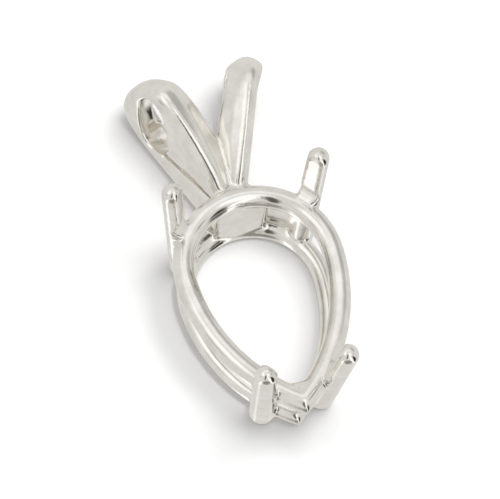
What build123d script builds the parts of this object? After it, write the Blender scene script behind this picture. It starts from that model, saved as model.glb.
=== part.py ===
from math import atan2, cos, degrees, radians, sin
import os

from build123d import *

# A cast silver mounting for a pear-shaped stone, lying on its back.
# Millimetres. X runs across, Y from the point of the pear to the bail, Z up from the surface.
# Until the last step the middle of the pear's round end is at X = Y = 0.

# The stone that the mounting is made for
stone_width = 6.0
stone_length = 9.0

# The two pear-shaped rails
upper_wire = 0.80
lower_wire = 0.68
rail_spacing = 2.32
seat_inset = 0.30
tip_inset = 0.55
side_taper = 0.20
tip_taper = 0.50

# The four prongs
prong_foot = 0.92
prong_top = 0.80
prong_outset = 0.44
prong_rise = 2.87
prong_flat = 0.12
prong_corner = 0.20
foot_clearance = 0.06
round_prong_angle = 39.0
tip_prong_share = 0.793
round_prong_lean = 7.6
tip_prong_lean = 9.1
round_prong_heading = 48.0
tip_prong_heading = -63.0
notch_low = 0.30
notch_high = 1.10
notch_depth = 0.40
notch_floor_share = 0.42

# The plate that joins the rails under the bail
plate_width = 1.62
plate_thickness = 0.95
plate_recess = 0.04
plate_foot = 0.30
plate_chamfer = 0.20
plate_shoulder = 0.15

# The bail
ear_offset = 0.33
ear_splay = 20.5
ear_reach = 5.55
ear_rise = 1.39
ear_clearance = 0.08
band_inside = 0.90
band_outside = 0.42
band_depth = 1.00
band_inner_edge = 0.30
band_outer_edge = 0.55
band_crown = 0.05
band_undercut = 0.90
inner_edge_round = 0.08
brow_round = 0.18
face_round = 0.50
ridge_round = 0.18
outer_edge_round = 0.25
base_round = 0.10
web_inside = 0.45
web_outside = 0.27
crease_depth = 0.35

upper_radius = stone_width / 2 - seat_inset
upper_tip = stone_length - stone_width / 2 - tip_inset
lower_radius = upper_radius - side_taper
lower_tip = upper_tip - tip_taper
lower_z = lower_wire / 2
upper_z = lower_z + rail_spacing


def side_bulge(radius, tip):
    """Distance from the round end's centre to the centre of the arc of either side."""
    return (tip**2 - radius**2) / (2 * radius)


def side_sweep(radius, tip):
    """Angle of the arc of one side, from the widest place to the point."""
    return degrees(atan2(tip, side_bulge(radius, tip)))


def rail(radius, tip, z, wire):
    """One closed pear of round wire, mitred at the point."""
    bulge = side_bulge(radius, tip)
    with BuildPart() as half:
        with BuildLine(Plane.XY.offset(z)) as path:
            CenterArc((0, 0), radius, 90, -90)
            CenterArc((-bulge, 0), bulge + radius, 0, -side_sweep(radius, tip) - degrees(wire / bulge))
        with BuildSketch(Plane((0, radius, z), x_dir=(0, 1, 0), z_dir=(1, 0, 0))):
            Circle(wire / 2)
        sweep(path=path.wire())
        split(bisect_by=Plane.YZ, keep=Keep.TOP)
        mirror(about=Plane.YZ)
    return half.part


def heading(angle):
    """A level direction, by its angle from the X axis."""
    return Vector(cos(radians(angle)), sin(radians(angle)), 0)


def prong(rail_angle, rail_point, lean, lean_angle):
    """A domed prong outside the rails, notched on the side that faces the stone."""
    out = heading(rail_angle)
    base = rail_point + out * prong_outset + Vector(0, 0, upper_z)
    up = Vector(0, 0, cos(radians(lean))) + heading(lean_angle) * sin(radians(lean))
    side = out.cross(up).normalized()
    stand = Plane(base, x_dir=up.cross(side), z_dir=side)
    foot = foot_clearance / cos(radians(lean)) - upper_z / cos(radians(lean))
    with BuildPart() as body:
        with BuildSketch(stand):
            with BuildLine():
                corner = (prong_foot / 2, foot + prong_corner)
                shoulder = (prong_top / 2, prong_rise)
                tip = (0, prong_rise + prong_top / 2)
                Line((0, foot), (prong_foot / 2 - prong_corner, foot))
                RadiusArc((prong_foot / 2 - prong_corner, foot), corner, -prong_corner)
                Line(corner, shoulder)
                RadiusArc(shoulder, tip, -prong_top / 2)
                Line(tip, (0, foot))
            make_face()
        revolve(axis=Axis(stand.origin, stand.y_dir))
        with BuildSketch(stand):
            seat = notch_low + notch_floor_share * (notch_high - notch_low)
            inner = -prong_top / 2
            with BuildLine():
                Polyline(
                    (inner - notch_depth, notch_low - (seat - notch_low)),
                    (inner + notch_depth, seat),
                    (inner + prong_flat, notch_high),
                    (inner + prong_flat, prong_rise + prong_top),
                    (inner - notch_depth, prong_rise + prong_top),
                    close=True,
                )
            make_face()
        extrude(amount=prong_foot, both=True, mode=Mode.SUBTRACT)
    return body.part


# Sections of an ear's band, from its root in front over the top to its root behind.
# out: share of the reach; up: share of the rise, or of the drop if negative;
# inside and outside: shares of the band's two half widths; deep: share of its depth;
# crown: share of the height by which the face that looks inward bulges
EAR_SECTIONS = (
    dict(out=-0.06, up=-0.10, inside=0.80, outside=0.60, deep=0.80, crown=1.0),
    dict(out=0.08, up=0.19, inside=0.95, outside=0.60, deep=0.90, crown=1.0),
    dict(out=0.25, up=0.50, inside=1.12, outside=0.64, deep=0.95, crown=1.0),
    dict(out=0.43, up=0.78, inside=1.14, outside=0.68, deep=0.90, crown=1.0),
    dict(out=0.60, up=0.96, inside=1.06, outside=0.72, deep=0.80, crown=1.5),
    dict(out=0.72, up=0.98, inside=1.00, outside=0.76, deep=0.70, crown=2.0),
    dict(out=0.82, up=0.80, inside=0.95, outside=0.78, deep=0.65, crown=2.5),
    dict(out=0.89, up=0.42, inside=0.92, outside=0.78, deep=0.60, crown=3.0),
    dict(out=0.94, up=0.02, inside=0.90, outside=0.78, deep=0.60, crown=3.0),
    dict(out=0.975, up=-0.21, inside=0.90, outside=0.78, deep=0.60, crown=3.0),
    dict(out=1.0, up=-0.45, inside=0.85, outside=0.78, deep=0.60, crown=3.0),
    dict(out=0.985, up=-0.67, inside=0.85, outside=0.78, deep=0.60, crown=3.0),
    dict(out=0.92, up=-0.84, inside=0.82, outside=0.78, deep=0.60, crown=2.5),
    dict(out=0.80, up=-0.95, inside=0.78, outside=0.78, deep=0.65, crown=2.0),
    dict(out=0.64, up=-1.0, inside=0.75, outside=0.76, deep=0.70, crown=1.5),
    dict(out=0.44, up=-1.0, inside=0.75, outside=0.74, deep=0.75, crown=1.0),
    dict(out=0.25, up=-1.0, inside=0.75, outside=0.72, deep=0.80, crown=1.0),
    dict(out=0.08, up=-1.0, inside=0.75, outside=0.66, deep=0.80, crown=1.0),
    dict(out=-0.08, up=-1.0, inside=0.75, outside=0.62, deep=0.80, crown=1.0),
)

# Side views of an ear, as shares of its reach and of the height of its top:
# the web that fills the loop, the opening for the chain, and the crease from the opening to the root
WEB = (
    (-0.03, 0.54),
    (0.08, 0.63),
    (0.25, 0.75),
    (0.43, 0.84),
    (0.60, 0.90),
    (0.72, 0.90),
    (0.80, 0.82),
    (0.86, 0.68),
    (0.91, 0.50),
    (0.93, 0.36),
    (0.92, 0.25),
    (0.86, 0.15),
    (0.77, 0.10),
    (0.60, 0.08),
    (-0.03, 0.08),
)
OPENING = (
    (0.49, 0.36),
    (0.52, 0.5),
    (0.58, 0.68),
    (0.66, 0.82),
    (0.76, 0.83),
    (0.825, 0.68),
    (0.83, 0.5),
    (0.79, 0.31),
    (0.72, 0.18),
    (0.62, 0.16),
    (0.53, 0.24),
)
CREASE = (
    (0.54, 0.36),
    (0.04, 0.485),
    (0.04, 0.44),
    (0.54, 0.25),
)


def side_points(shares):
    """The points of a side view of an ear, in millimetres."""
    return [(out * ear_reach, up * (upper_z + ear_rise)) for out, up in shares]


def ear():
    """One loop of the bail, in its own upright plane."""
    along = Vector(sin(radians(ear_splay)), cos(radians(ear_splay)), 0)
    across = along.cross(Vector(0, 0, 1))
    start = Vector(ear_offset, upper_radius + upper_wire / 2, upper_z)
    drop = upper_z - ear_clearance
    heights = [row["up"] * (ear_rise if row["up"] > 0 else drop) for row in EAR_SECTIONS]
    ridge = [
        start + along * (row["out"] * ear_reach) + Vector(0, 0, height)
        for row, height in zip(EAR_SECTIONS, heights)
    ]
    before = ridge[:1] + ridge[:-1]
    after = ridge[1:] + ridge[-1:]
    with BuildPart() as loop:
        for row, here, last, following in zip(EAR_SECTIONS, ridge, before, after):
            course = (following - last).normalized()
            inside = band_inside * row["inside"]
            outside = band_outside * row["outside"]
            base = -band_depth * row["deep"]
            brow = base + band_inner_edge * row["deep"]
            with BuildSketch(Plane(here, x_dir=-across, z_dir=course)):
                with BuildLine():
                    FilletPolyline(
                        (inside, base),
                        (inside, brow),
                        (inside / 2, brow / 2 + band_crown * row["crown"]),
                        (0, 0),
                        (-outside, base + band_outer_edge * row["deep"]),
                        (-outside * band_undercut, base),
                        radius=(
                            inner_edge_round,
                            brow_round,
                            face_round,
                            ridge_round,
                            outer_edge_round,
                            base_round,
                        ),
                        close=True,
                    )
                make_face()
        loft()
        side_view = Plane((start.X, start.Y, 0), x_dir=along, z_dir=across)
        with BuildSketch(side_view.offset(-web_inside)):
            with BuildLine():
                Polyline(side_points(WEB), close=True)
            make_face()
        extrude(amount=web_inside + web_outside)
        with BuildSketch(side_view):
            with BuildLine():
                Spline(side_points(OPENING), periodic=True)
            make_face()
        extrude(amount=band_inside * 2, both=True, mode=Mode.SUBTRACT)
        with BuildSketch(side_view.offset(web_outside - crease_depth)):
            with BuildLine():
                Polyline(side_points(CREASE), close=True)
            make_face()
        extrude(amount=crease_depth * 2, mode=Mode.SUBTRACT)
        split(bisect_by=Plane.YZ, keep=Keep.TOP)
    return loop.part


with BuildPart() as plate:
    upper_inner = upper_radius - upper_wire / 2 + plate_recess
    lower_inner = lower_radius - lower_wire / 2 + plate_recess
    foot_inner = lower_inner + plate_foot
    with BuildSketch(Plane.YZ):
        with BuildLine():
            Polyline(
                (upper_inner, upper_z),
                (lower_inner, lower_z),
                (foot_inner, lower_z - plate_chamfer),
                (foot_inner + plate_thickness, lower_z - plate_chamfer / 2),
                (upper_inner + plate_thickness, upper_z - plate_shoulder),
                (upper_inner + plate_thickness / 2, upper_z),
                close=True,
            )
        make_face()
    extrude(amount=plate_width / 2, both=True)

side_angle = -tip_prong_share * side_sweep(upper_radius, upper_tip)
bulge = side_bulge(upper_radius, upper_tip)
tip_point = heading(side_angle) * (bulge + upper_radius) - Vector(bulge, 0, 0)
round_point = heading(round_prong_angle) * upper_radius

with BuildPart() as prongs:
    add(prong(round_prong_angle, round_point, round_prong_lean, round_prong_heading))
    add(prong(side_angle, tip_point, tip_prong_lean, tip_prong_heading))
    mirror(about=Plane.YZ)

with BuildPart() as bail:
    add(ear())
    mirror(about=Plane.YZ)

with BuildPart() as casting:
    add(rail(upper_radius, upper_tip, upper_z, upper_wire))
    add(rail(lower_radius, lower_tip, lower_z, lower_wire))
    add(plate)
    add(prongs)
    add(bail)

# The origin goes under the middle of the whole
extent = casting.part.bounding_box()
with BuildPart() as pendant_mounting:
    add(casting.part.moved(Location((0, -extent.center().Y, -extent.min.Z))))

pendant_mounting.part.label = "pendant_mounting"
os.makedirs("parts", exist_ok=True)
export_step(pendant_mounting.part, "parts/pendant_mounting.step")
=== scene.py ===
from math import atan2, cos, degrees, pi, radians, sin, sqrt, tan

import bmesh
import bpy
from mathutils import Matrix, Vector


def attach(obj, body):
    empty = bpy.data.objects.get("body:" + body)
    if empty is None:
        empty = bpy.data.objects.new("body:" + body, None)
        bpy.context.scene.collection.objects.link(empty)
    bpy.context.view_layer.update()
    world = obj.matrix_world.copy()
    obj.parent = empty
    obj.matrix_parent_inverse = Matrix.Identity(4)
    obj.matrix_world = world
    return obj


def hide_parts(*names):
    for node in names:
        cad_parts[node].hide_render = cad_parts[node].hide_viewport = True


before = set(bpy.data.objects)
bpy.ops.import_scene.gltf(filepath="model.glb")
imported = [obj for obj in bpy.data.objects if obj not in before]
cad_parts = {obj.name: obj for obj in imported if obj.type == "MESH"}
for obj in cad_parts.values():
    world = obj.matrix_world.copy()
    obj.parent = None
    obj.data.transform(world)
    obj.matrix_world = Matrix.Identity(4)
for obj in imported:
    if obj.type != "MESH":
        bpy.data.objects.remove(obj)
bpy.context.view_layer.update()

MM = 0.001

# Camera: the photo's viewing angle, with the picture's own axes in the row frame
PICTURE_X = Vector((0.957, -0.286, 0.059)).normalized()
TOWARD = Vector((-0.169, -0.380, 0.909)).normalized()
TOWARD = (TOWARD - PICTURE_X * TOWARD.dot(PICTURE_X)).normalized()
PICTURE_Y = TOWARD.cross(PICTURE_X)
PHOTO_WIDTH, PHOTO_HEIGHT = 500, 499
FOCAL = 6000  # pixels
SCALE = 28.1  # pixels to the millimetre
FAR = FOCAL / SCALE
SENSOR = 36
MIDDLE_Y = -1.2073  # the centre of the rails' round ends
CENTRE_HEIGHT, CENTRE_PIXEL = 2.66, (259.2, 265.3)  # that centre in the upper rail's plane, and where the photo has it
target = (Vector((0, MIDDLE_Y, CENTRE_HEIGHT))
          - PICTURE_X * (CENTRE_PIXEL[0] - PHOTO_WIDTH / 2) / SCALE
          + PICTURE_Y * (CENTRE_PIXEL[1] - PHOTO_HEIGHT / 2) / SCALE)
camera_data = bpy.data.cameras.new("camera")
camera = bpy.data.objects.new("camera", camera_data)
bpy.context.scene.collection.objects.link(camera)
camera.matrix_world = Matrix.Translation((target + TOWARD * FAR) * MM) @ Matrix(
    (PICTURE_X, PICTURE_Y, TOWARD)).transposed().to_4x4()
camera_data.sensor_width = SENSOR
camera_data.lens = SENSOR * FOCAL / PHOTO_WIDTH
camera_data.clip_start = 0.01
camera_data.clip_end = 10
bpy.context.scene.camera = camera

# Sizes of the casting in millimetres, as in the part's source
stone_width, stone_length = 6.0, 9.0
upper_wire, lower_wire = 0.80, 0.68
rail_spacing = 2.32
seat_inset, tip_inset = 0.30, 0.55
side_taper, tip_taper = 0.20, 0.50
prong_foot, prong_top = 0.92, 0.80
prong_outset, prong_rise, prong_flat, prong_corner = 0.44, 2.87, 0.12, 0.20
foot_clearance = 0.06
round_prong_angle, tip_prong_share = 39.0, 0.793
round_prong_lean, tip_prong_lean = 7.6, 9.1
round_prong_heading, tip_prong_heading = 48.0, -63.0
notch_low, notch_high, notch_depth, notch_floor_share = 0.30, 1.10, 0.40, 0.42
plate_width, plate_thickness = 1.62, 0.95
plate_recess, plate_foot, plate_chamfer, plate_shoulder = 0.04, 0.30, 0.20, 0.15
ear_offset, ear_splay, ear_reach, ear_rise, ear_clearance = 0.33, 20.5, 5.55, 1.39, 0.08
band_inside, band_outside, band_depth = 0.90, 0.42, 1.00
band_inner_edge, band_outer_edge, band_crown, band_undercut = 0.30, 0.55, 0.05, 0.90
web_inside, web_outside, crease_depth = 0.45, 0.27, 0.35

# What only this one casting has, so it isn't in the part's source. Lengths are in millimetres.
BEND, BEND_TOP = 0.10, 3.4  # the bail's lean to the left for each millimetre below this height
PLATE_EXTRA, PLATE_BEHIND, PLATE_BACK = 0.19, 0.2, 0.65  # the plate's reach on the right, and its narrower back
WAIST_IN, WAIST_IN_SPAN = 0.62, (0.3, 1.8)  # the right ear's outer side, in shares, between these places along it
WAIST_OUT, WAIST_OUT_SPAN = 0.95, (2.0, 5.2)
wall_recess, wall_thickness = 0.30, 0.36
fill_radius, fill_half, fill_inset = 0.30, 0.45, 0.46

# Steps of the meshes that the casting is joined from, and how it is joined
SIDES, ROUND_STEPS, SIDE_STEPS, FILL_SIDES = 56, 90, 160, 32
OVERLAP = 0.02  # past the middle plane, so that the two halves join
VOXEL, SOFTEN_SHARE, SOFTEN_PASSES = 0.059, 0.5, 12

upper_radius = stone_width / 2 - seat_inset
upper_tip = stone_length - stone_width / 2 - tip_inset
lower_radius = upper_radius - side_taper
lower_tip = upper_tip - tip_taper
lower_z = lower_wire / 2
upper_z = lower_z + rail_spacing

# out, up, inside, outside, deep, crown of each section of an ear
EAR_SECTIONS = (
    (-0.06, -0.10, 0.80, 0.60, 0.80, 1.0),
    (0.08, 0.19, 0.95, 0.60, 0.90, 1.0),
    (0.25, 0.50, 1.12, 0.64, 0.95, 1.0),
    (0.43, 0.78, 1.14, 0.68, 0.90, 1.0),
    (0.60, 0.96, 1.06, 0.72, 0.80, 1.5),
    (0.72, 0.98, 1.00, 0.76, 0.70, 2.0),
    (0.82, 0.80, 0.95, 0.78, 0.65, 2.5),
    (0.89, 0.42, 0.92, 0.78, 0.60, 3.0),
    (0.94, 0.02, 0.90, 0.78, 0.60, 3.0),
    (0.975, -0.21, 0.90, 0.78, 0.60, 3.0),
    (1.0, -0.45, 0.85, 0.78, 0.60, 3.0),
    (0.985, -0.67, 0.85, 0.78, 0.60, 3.0),
    (0.92, -0.84, 0.82, 0.78, 0.60, 2.5),
    (0.80, -0.95, 0.78, 0.78, 0.65, 2.0),
    (0.64, -1.0, 0.75, 0.76, 0.70, 1.5),
    (0.44, -1.0, 0.75, 0.74, 0.75, 1.0),
    (0.25, -1.0, 0.75, 0.72, 0.80, 1.0),
    (0.08, -1.0, 0.75, 0.66, 0.80, 1.0),
    (-0.08, -1.0, 0.75, 0.62, 0.80, 1.0),
)

# The web inside the loop, its opening and its crease, in shares of the ear's reach and of its top's height.
# The crease is a little wider than in the part's source.
WEB_OUTLINE = (
    (-0.03, 0.54), (0.08, 0.63), (0.25, 0.75), (0.43, 0.84), (0.60, 0.90), (0.72, 0.90), (0.80, 0.82), (0.86, 0.68),
    (0.91, 0.50), (0.93, 0.36), (0.92, 0.25), (0.86, 0.15), (0.77, 0.10), (0.60, 0.08), (-0.03, 0.08))
OPENING = (
    (0.49, 0.36), (0.52, 0.5), (0.58, 0.68), (0.66, 0.82), (0.76, 0.83), (0.825, 0.68),
    (0.83, 0.5), (0.79, 0.31), (0.72, 0.18), (0.62, 0.16), (0.53, 0.24))
CREASE = ((0.54, 0.39), (0.04, 0.49), (0.04, 0.435), (0.54, 0.21))


def mesh_object(name, verts, faces):
    mesh = bpy.data.meshes.new(name)
    mesh.from_pydata([tuple(v) for v in verts], [], faces)
    work = bmesh.new()
    work.from_mesh(mesh)
    bmesh.ops.recalc_face_normals(work, faces=work.faces)
    work.to_mesh(mesh)
    work.free()
    obj = bpy.data.objects.new(name, mesh)
    bpy.context.scene.collection.objects.link(obj)
    return obj


def skin(name, rings):
    """A closed tube through rings of the same number of points."""
    count = len(rings[0])
    verts = [p for ring in rings for p in ring]
    faces = []
    for i in range(len(rings) - 1):
        for j in range(count):
            k = (j + 1) % count
            faces.append((i * count + j, i * count + k, (i + 1) * count + k, (i + 1) * count + j))
    faces.append(tuple(range(count)))
    faces.append(tuple((len(rings) - 1) * count + j for j in range(count)))
    return mesh_object(name, verts, faces)


def modified(obj):
    """The object's mesh with its modifiers worked out, as a new mesh."""
    graph = bpy.context.evaluated_depsgraph_get()
    graph.update()
    return bpy.data.meshes.new_from_object(obj.evaluated_get(graph))


def settle(obj):
    """Applies the object's modifiers."""
    mesh = modified(obj)
    obj.modifiers.clear()
    obj.data = mesh


def cut(obj, *cutters):
    """Takes the cutters away from the object."""
    for cutter in cutters:
        taken = obj.modifiers.new("cut", "BOOLEAN")
        taken.operation = "DIFFERENCE"
        taken.solver = "EXACT"
        taken.object = cutter
        settle(obj)
        bpy.data.objects.remove(cutter)


def heading(angle):
    """The level direction at this angle from +X."""
    return Vector((cos(radians(angle)), sin(radians(angle)), 0))


def rail(name, radius, tip, z, wire):
    """Half a pear of round wire on the +X side, cut at the middle plane."""
    bulge = (tip**2 - radius**2) / (2 * radius)
    sweep = atan2(tip, bulge) + wire / bulge
    points = [Vector((-0.3, radius, z)), Vector((-0.15, radius, z))]
    outs = [Vector((0, 1, 0))] * 2
    for i in range(ROUND_STEPS + 1):
        a = pi / 2 * (1 - i / ROUND_STEPS)
        outs.append(Vector((cos(a), sin(a), 0)))
        points.append(outs[-1] * radius + Vector((0, 0, z)))
    for i in range(1, SIDE_STEPS + 1):
        a = -sweep * i / SIDE_STEPS
        outs.append(Vector((cos(a), sin(a), 0)))
        points.append(outs[-1] * (bulge + radius) + Vector((-bulge, 0, z)))
    rings = []
    for point, out in zip(points, outs):
        rings.append([
            point + out * (wire / 2 * cos(2 * pi * j / SIDES)) + Vector((0, 0, wire / 2 * sin(2 * pi * j / SIDES)))
            for j in range(SIDES)])
    return skin(name, rings)


def prong(name, rail_angle, rail_point, lean, lean_angle):
    """A domed prong outside the rails, with a notch for the stone's edge on its inner side."""
    out = heading(rail_angle)
    base = rail_point + out * prong_outset + Vector((0, 0, upper_z))
    up = Vector((0, 0, cos(radians(lean)))) + heading(lean_angle) * sin(radians(lean))
    side = out.cross(up).normalized()
    across = up.cross(side)
    foot = (foot_clearance - upper_z) / cos(radians(lean))
    half_foot, half_top = prong_foot / 2, prong_top / 2
    profile = [(0.02, foot), (half_foot - prong_corner, foot)]
    for i in range(1, 9):
        a = pi / 2 * i / 8
        profile.append((half_foot - prong_corner * (1 - sin(a)), foot + prong_corner * (1 - cos(a))))
    for i in range(1, 41):
        t = i / 40
        profile.append((half_foot + (half_top - half_foot) * t,
                        foot + prong_corner + (prong_rise - foot - prong_corner) * t))
    for i in range(1, 16):
        a = pi / 2 * i / 16
        profile.append((half_top * cos(a), prong_rise + half_top * sin(a)))
    rings = []
    for r, h in profile:
        rings.append([
            base + across * (r * cos(2 * pi * j / SIDES)) + side * (r * sin(2 * pi * j / SIDES)) + up * h
            for j in range(SIDES)])
    body = skin(name, rings)
    seat = notch_low + notch_floor_share * (notch_high - notch_low)
    inner = -prong_top / 2
    outline = (
        (inner - notch_depth, notch_low - (seat - notch_low)),
        (inner + notch_depth, seat),
        (inner + prong_flat, notch_high),
        (inner + prong_flat, prong_rise + prong_top),
        (inner - notch_depth, prong_rise + prong_top),
    )
    cut(body, skin(name + "_cut", [
        [base + across * x + up * h + side * (prong_foot * s) for x, h in outline] for s in (-1, 1)]))
    return body


def rounded(corners, radii, steps=6):
    """A closed outline with its corners rounded; always the same number of points."""
    outline = []
    count = len(corners)
    for i, radius in enumerate(radii):
        here = Vector(corners[i])
        back = (Vector(corners[i - 1]) - here).normalized()
        on = (Vector(corners[(i + 1) % count]) - here).normalized()
        half = back.angle(on) / 2
        reach = radius / tan(half)
        centre = here + (back + on).normalized() * (radius / sin(half))
        first, last = here + back * reach - centre, here + on * reach - centre
        for k in range(steps + 1):
            t = k / steps
            outline.append(centre + (first * (1 - t) + last * t).normalized() * radius)
    return outline


def smooth_rows(rows, steps):
    """Points between the rows on Catmull-Rom curves."""
    out = []
    for i in range(len(rows) - 1):
        a = rows[max(i - 1, 0)]
        b, c = rows[i], rows[i + 1]
        d = rows[min(i + 2, len(rows) - 1)]
        for k in range(steps):
            t = k / steps
            out.append([
                0.5 * (2 * q + (r - p) * t + (2 * p - 5 * q + 4 * r - s) * t**2 + (3 * q - p - 3 * r + s) * t**3)
                for p, q, r, s in zip(a, b, c, d)])
    out.append(rows[-1])
    return out


ear_along = Vector((sin(radians(ear_splay)), cos(radians(ear_splay)), 0))
ear_across = ear_along.cross(Vector((0, 0, 1)))
ear_start = Vector((ear_offset, upper_radius + upper_wire / 2, upper_z))


def ear(name):
    """The band of one loop of the bail."""
    drop = upper_z - ear_clearance
    ridge = [ear_start + ear_along * (row[0] * ear_reach)
             + Vector((0, 0, row[1] * (ear_rise if row[1] > 0 else drop))) for row in EAR_SECTIONS]
    rows = []
    for i, (out, up, inside, outside, deep, crown) in enumerate(EAR_SECTIONS):
        course = (ridge[min(i + 1, len(ridge) - 1)] - ridge[max(i - 1, 0)]).normalized()
        x_dir = -ear_across
        y_dir = course.cross(x_dir)
        inside *= band_inside
        outside *= band_outside
        base = -band_depth * deep
        brow = base + band_inner_edge * deep
        outline = rounded(
            ((inside, base), (inside, brow), (inside / 2, brow / 2 + band_crown * crown), (0, 0),
             (-outside, base + band_outer_edge * deep), (-outside * band_undercut, base)),
            (0.08, 0.18, 0.50, max(0.28, 0.18 * crown), 0.25, 0.10))
        rows.append([ridge[i] + x_dir * p.x + y_dir * p.y for p in outline])
    return skin(name, smooth_rows(rows, 10))


def slab(name, outline, near, far):
    """A side view of the ear, in shares of its reach and height, made thick."""
    top = upper_z + ear_rise
    corner = Vector((ear_start.x, ear_start.y, 0))
    return skin(name, [
        [corner + ear_along * (out * ear_reach) + Vector((0, 0, up * top)) + ear_across * level for out, up in outline]
        for level in (near, far)])


def opened(obj):
    """Cuts the opening for the chain, and the crease behind it."""
    closed = smooth_rows([Vector(p) for p in OPENING[-1:] + OPENING + OPENING[:2]], 6)[6:-6]
    cut(obj, slab("opening", [(p[0], p[1]) for p in closed[:-1]], -2, 2),
        slab("crease", CREASE, web_outside - crease_depth, 2))
    return obj


def keep_right(obj):
    """Cuts the object at the middle plane and closes the cut."""
    work = bmesh.new()
    work.from_mesh(obj.data)
    sliced = bmesh.ops.bisect_plane(
        work, geom=work.verts[:] + work.edges[:] + work.faces[:], dist=1e-6,
        plane_co=(0, 0, 0), plane_no=(-1, 0, 0), clear_outer=True)
    edges = [e for e in sliced["geom_cut"] if isinstance(e, bmesh.types.BMEdge)]
    bmesh.ops.holes_fill(work, edges=edges, sides=0)
    bmesh.ops.recalc_face_normals(work, faces=work.faces)
    work.to_mesh(obj.data)
    work.free()


def pushed_aside(point):
    """The bail leans a little to the left, most at its back."""
    return point - Vector((BEND * max(BEND_TOP - point.z, 0), 0, 0))


def smoothstep(value, start, end):
    """0 before start, 1 after end, smooth between."""
    t = min(max((value - start) / (end - start), 0), 1)
    return t * t * (3 - 2 * t)


def waisted(point):
    """The right ear's outer side is drawn in along its middle and stands out at its end."""
    reach, out = (point - ear_start).dot(ear_along), (point - ear_start).dot(ear_across)
    drawn_in = WAIST_IN * smoothstep(reach, *WAIST_IN_SPAN)
    stood_out = WAIST_OUT * smoothstep(reach, *WAIST_OUT_SPAN)
    return point + ear_across * (max(out, 0) * (stood_out - drawn_in))


# The blocks of the right half
bulge = (upper_tip**2 - upper_radius**2) / (2 * upper_radius)
side_angle = -tip_prong_share * degrees(atan2(upper_tip, bulge))
tip_point = heading(side_angle) * (bulge + upper_radius) - Vector((bulge, 0, 0))
blocks = [
    rail("upper_rail", upper_radius, upper_tip, upper_z, upper_wire),
    rail("lower_rail", lower_radius, lower_tip, lower_z, lower_wire),
    opened(ear("ear")),
    opened(slab("web", WEB_OUTLINE, -web_inside, web_outside)),
]
for block in blocks:
    keep_right(block)
blocks.append(prong("round_prong", round_prong_angle, heading(round_prong_angle) * upper_radius,
                    round_prong_lean, round_prong_heading))
blocks.append(prong("tip_prong", side_angle, tip_point, tip_prong_lean, tip_prong_heading))

upper_inner = upper_radius - upper_wire / 2 + plate_recess
lower_inner = lower_radius - lower_wire / 2 + plate_recess
foot_inner = lower_inner + plate_foot
profile = (
    (upper_inner, upper_z), (lower_inner, lower_z), (foot_inner, lower_z - plate_chamfer),
    (foot_inner + plate_thickness, lower_z - plate_chamfer / 2),
    (upper_inner + plate_thickness, upper_z - plate_shoulder), (upper_inner + plate_thickness / 2, upper_z))
blocks.append(skin("plate", [[Vector((x, y, z)) for y, z in profile] for x in (-OVERLAP, plate_width / 2)]))

# The thin wall between the rails, from just past the middle plane to the round prong, in steps of a degree
wall_inner = upper_radius - upper_wire / 2 + wall_recess
wall_outer = wall_inner + wall_thickness
wall_corners = ((wall_inner, lower_z), (wall_outer, lower_z), (wall_outer, upper_z), (wall_inner, upper_z))
blocks.append(skin("wall", [
    [heading(angle) * radius + Vector((0, 0, z)) for radius, z in wall_corners]
    for angle in range(int(round_prong_angle), 92)]))

# The metal that fills the inner corner of the upper rail's point
fill_y = -upper_tip + fill_inset
fill_ring = [(fill_y + fill_radius * cos(2 * pi * j / FILL_SIDES), upper_z + fill_radius * sin(2 * pi * j / FILL_SIDES))
             for j in range(FILL_SIDES)]
blocks.append(skin("fill", [[Vector((x, y, z)) for y, z in fill_ring] for x in (-OVERLAP, fill_half)]))

# Both halves in one mesh, joined and softened as a casting is
whole = bmesh.new()
for block in blocks:
    for flip in (1, -1):
        copy = block.data.copy()
        copy.transform(Matrix.Diagonal((flip, 1, 1, 1)))
        if flip < 0:
            copy.flip_normals()
        if block.name in ("ear", "web"):
            for vertex in copy.vertices:
                vertex.co = pushed_aside(waisted(vertex.co) if flip > 0 else vertex.co)
        if block.name == "plate":
            for vertex in copy.vertices:
                if vertex.co.y > upper_radius + PLATE_BEHIND:
                    vertex.co.x *= PLATE_BACK
                elif vertex.co.x > PLATE_EXTRA:
                    vertex.co.x += PLATE_EXTRA
        whole.from_mesh(copy)
        bpy.data.meshes.remove(copy)
    bpy.data.objects.remove(block)
mesh = bpy.data.meshes.new("casting")
whole.to_mesh(mesh)
whole.free()
casting = bpy.data.objects.new("casting", mesh)
bpy.context.scene.collection.objects.link(casting)
remesh = casting.modifiers.new("remesh", "REMESH")
remesh.mode = "VOXEL"
remesh.voxel_size = VOXEL
remesh.adaptivity = 0
remesh.use_smooth_shade = True
soften = casting.modifiers.new("soften", "SMOOTH")
soften.factor = SOFTEN_SHARE
soften.iterations = SOFTEN_PASSES
settle(casting)
casting.data.transform(Matrix.Scale(MM, 4) @ Matrix.Translation((0, MIDDLE_Y, 0)))
for polygon in casting.data.polygons:
    polygon.use_smooth = True
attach(casting, "root")
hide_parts("pendant_mounting")


# Materials
def node(tree, kind, x=0, y=0, **values):
    made = tree.nodes.new(kind)
    made.location = (x, y)
    for key, value in values.items():
        setattr(made, key, value)
    return made


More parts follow.
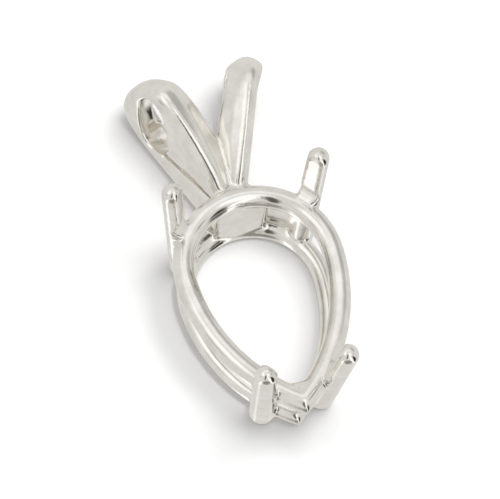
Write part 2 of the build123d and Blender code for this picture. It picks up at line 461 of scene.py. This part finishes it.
def silver():
    """Polished cast silver: faint swirl of the polishing, and painted shade that makes the hollows darker and browner.
    """
    material = bpy.data.materials.new("silver")
    material.use_nodes = True
    tree = material.node_tree
    shader = tree.nodes["Principled BSDF"]
    shader.inputs["Metallic"].default_value = 1.0
    place = node(tree, "ShaderNodeTexCoord", -1200)
    broad = node(tree, "ShaderNodeTexNoise", -1000, 200)
    broad.inputs["Scale"].default_value = 1400
    broad.inputs["Detail"].default_value = 4
    tree.links.new(place.outputs["Object"], broad.inputs["Vector"])
    tint = node(tree, "ShaderNodeValToRGB", -700, 300)
    tint.color_ramp.elements[0].position = 0.3
    tint.color_ramp.elements[0].color = (0.80, 0.78, 0.735, 1)
    tint.color_ramp.elements[1].position = 0.7
    tint.color_ramp.elements[1].color = (0.95, 0.93, 0.885, 1)
    tree.links.new(broad.outputs["Fac"], tint.inputs["Fac"])
    # Painted shade: where the metal is hemmed in by itself, ambient occlusion darkens the base colour towards brown
    hollow_occlusion = node(tree, "ShaderNodeAmbientOcclusion", -700, 600, samples=8, only_local=True)
    hollow_occlusion.inputs["Distance"].default_value = 0.0005
    painted_shade_amount = node(tree, "ShaderNodeMapRange", -500, 600, interpolation_type="SMOOTHSTEP")
    painted_shade_amount.inputs["From Min"].default_value = 0.66
    painted_shade_amount.inputs["From Max"].default_value = 0.22
    tree.links.new(hollow_occlusion.outputs["AO"], painted_shade_amount.inputs["Value"])
    painted_shade_mix = node(tree, "ShaderNodeMix", -300, 400, data_type="RGBA")
    painted_shade_mix.inputs[7].default_value = (0.42, 0.35, 0.26, 1)
    tree.links.new(painted_shade_amount.outputs["Result"], painted_shade_mix.inputs["Factor"])
    tree.links.new(tint.outputs["Color"], painted_shade_mix.inputs[6])
    tree.links.new(painted_shade_mix.outputs[2], shader.inputs["Base Color"])
    rough = node(tree, "ShaderNodeMapRange", -700, 0)
    rough.inputs["From Min"].default_value = 0.3
    rough.inputs["From Max"].default_value = 0.7
    rough.inputs["To Min"].default_value = 0.09
    rough.inputs["To Max"].default_value = 0.15
    tree.links.new(broad.outputs["Fac"], rough.inputs["Value"])
    tree.links.new(rough.outputs["Result"], shader.inputs["Roughness"])
    fine = node(tree, "ShaderNodeTexNoise", -1000, -300)
    fine.inputs["Scale"].default_value = 2600
    fine.inputs["Detail"].default_value = 2
    tree.links.new(place.outputs["Object"], fine.inputs["Vector"])
    bump = node(tree, "ShaderNodeBump", -500, -300)
    bump.inputs["Strength"].default_value = 0.30
    bump.inputs["Distance"].default_value = 0.00002
    tree.links.new(fine.outputs["Fac"], bump.inputs["Height"])
    tree.links.new(bump.outputs["Normal"], shader.inputs["Normal"])
    return material


casting.data.materials.clear()
casting.data.materials.append(silver())


def paper():
    """Matt white card with a faint grain."""
    material = bpy.data.materials.new("paper")
    material.use_nodes = True
    tree = material.node_tree
    shader = tree.nodes["Principled BSDF"]
    shader.inputs["Roughness"].default_value = 0.9
    shader.inputs["Specular IOR Level"].default_value = 0.1
    place = node(tree, "ShaderNodeTexCoord", -900)
    grain = node(tree, "ShaderNodeTexNoise", -700)
    grain.inputs["Scale"].default_value = 900
    tree.links.new(place.outputs["Object"], grain.inputs["Vector"])
    tint = node(tree, "ShaderNodeValToRGB", -400)
    tint.color_ramp.elements[0].color = (0.88, 0.88, 0.88, 1)
    tint.color_ramp.elements[1].color = (0.91, 0.91, 0.91, 1)
    tree.links.new(grain.outputs["Fac"], tint.inputs["Fac"])
    tree.links.new(tint.outputs["Color"], shader.inputs["Base Color"])
    return material


floor = mesh_object("floor", [(-0.6, -0.6, 0), (0.6, -0.6, 0), (0.6, 0.6, 0), (-0.6, 0.6, 0)], [(0, 1, 2, 3)])
floor.data.materials.append(paper())
floor.visible_glossy = False

# Light: a pale tent with soft cards, which the metal mirrors, and two soft lamps, which light only the floor
world = bpy.data.worlds.new("tent")
bpy.context.scene.world = world
world.use_nodes = True
tree = world.node_tree
background = tree.nodes["Background"]
place = node(tree, "ShaderNodeTexCoord", -2000)


def along(direction):
    """How far a looked-in direction goes along this one."""
    dot = node(tree, "ShaderNodeVectorMath", -1800, operation="DOT_PRODUCT")
    tree.links.new(place.outputs["Generated"], dot.inputs[0])
    dot.inputs[1].default_value = direction
    return dot.outputs["Value"]


def reach(value, start, end):
    """0 before start, 1 after end, smooth between."""
    step = node(tree, "ShaderNodeMapRange", -1200, interpolation_type="SMOOTHSTEP")
    step.inputs["From Min"].default_value = start
    step.inputs["From Max"].default_value = end
    tree.links.new(value, step.inputs["Value"])
    return step.outputs["Result"]


def maths(operation, *values):
    """One sum on sockets or numbers."""
    made = node(tree, "ShaderNodeMath", -1500, operation=operation)
    for socket, value in zip(made.inputs, values):
        if isinstance(value, (int, float)):
            socket.default_value = value
        else:
            tree.links.new(value, socket)
    return made.outputs["Value"]


def blend(amount, under, over):
    """The two colours or sockets mixed by amount."""
    mix = node(tree, "ShaderNodeMix", -600, data_type="RGBA")
    tree.links.new(amount, mix.inputs["Factor"])
    for socket, value in ((mix.inputs[6], under), (mix.inputs[7], over)):
        if isinstance(value, tuple):
            socket.default_value = value
        else:
            tree.links.new(value, socket)
    return mix.outputs[2]


def card(under, right, up, across, outward, soft, colour, turn=0):
    """A soft-edged oval in the tent. Its place is in degrees right of and above the lens, as on a map
    whose middle is the lens; its half sizes are in degrees across and outward on that map."""
    polar, round_lens = radians(sqrt(right * right + up * up)), atan2(up, right)
    spoke = PICTURE_X * cos(round_lens) + PICTURE_Y * sin(round_lens)
    centre = spoke * sin(polar) + TOWARD * cos(polar)
    out = (spoke * cos(polar) - TOWARD * sin(polar)).normalized()
    aside = centre.cross(out)
    turned, slewed = cos(radians(turn)), sin(radians(turn))
    out, aside = out * turned + aside * slewed, aside * turned - out * slewed
    a = maths("POWER", maths("DIVIDE", along(aside), sin(radians(across))), 2)
    b = maths("POWER", maths("DIVIDE", along(out), sin(radians(outward))), 2)
    inside = reach(maths("SQRT", maths("ADD", a, b)), 1 + soft, 1 - soft)
    front = reach(along(centre), 0.0, 0.1)
    return blend(maths("MULTIPLY", inside, front), under, colour)


def grey(level, warm=0.0):
    """A grey of this brightness, made a little warmer."""
    return (level * (1 + warm), level, level * (1 - warm), 1)


# The soft cards: right, up, half sizes across and outward, softness, brightness, warmth, turn. Angles are in degrees.
CARDS = (
    (48, 58, 22, 16, 0.4, 0.50, 0.0, 0),
    (-2, 48, 26, 12, 0.5, 0.97, 0.0, 0),
    (-32, 15, 20, 15, 0.4, 1.15, 0.0, 0),
    (-56, 15, 6, 6, 0.4, 0.93, 0.0, 0),
    (16, 4, 22, 16, 0.35, 1.15, 0.0, 0),
    (-60, -12, 7, 6, 0.4, 0.52, 0.0, 0),
    (54, 14, 8, 5, 0.4, 0.25, 0.0, 0),
    (44, -60, 9, 55, 0.3, 1.35, 0.0, 0),
    (-72, -92, 6, 36, 0.3, 1.2, 0.0, 0),
    (2, -88, 28, 28, 0.25, 0.28, 0.05, 0),
    (-6, -20, 8, 30, 0.3, 0.12, 0.05, 0),
    (70, -48, 13, 38, 0.25, 0.03, 0.0, -18),
)
sky = blend(reach(along(TOWARD), -0.6, 0.9), grey(0.72, 0.02), grey(0.76, 0.01))
for right, up, across, outward, soft, level, warm, turn in CARDS:
    sky = card(sky, right, up, across, outward, soft, grey(level, warm), turn)
light_path = node(tree, "ShaderNodeLightPath", -2000, 400)
sky = blend(light_path.outputs["Is Camera Ray"], sky, grey(0.95))
tree.links.new(sky, background.inputs["Color"])
background.inputs["Strength"].default_value = 1.0
world.cycles_visibility.diffuse = False


def area(name, place, size, power):
    """A square lamp that shines at the middle of the floor and isn't mirrored. Metres and watts."""
    data = bpy.data.lights.new(name, "AREA")
    data.size = size
    data.energy = power
    data.color = (1, 1, 1)
    lamp = bpy.data.objects.new(name, data)
    bpy.context.scene.collection.objects.link(lamp)
    lamp.visible_glossy = False
    lamp.matrix_world = Matrix.Translation(place) @ place.to_track_quat("Z", "Y").to_matrix().to_4x4()


LAMP_DISTANCE, KEY_SLOPE = 0.30, 0.24
UP = Vector((0, 0, 1))
to_key = PICTURE_X * 0.95 + PICTURE_Y * 0.30
to_key.z = 0
area("key", (UP + to_key.normalized() * KEY_SLOPE).normalized() * LAMP_DISTANCE, 0.15, 0.58)
area("fill", UP * LAMP_DISTANCE, 0.60, 1.32)

bpy.context.scene.view_settings.view_transform = "Standard"
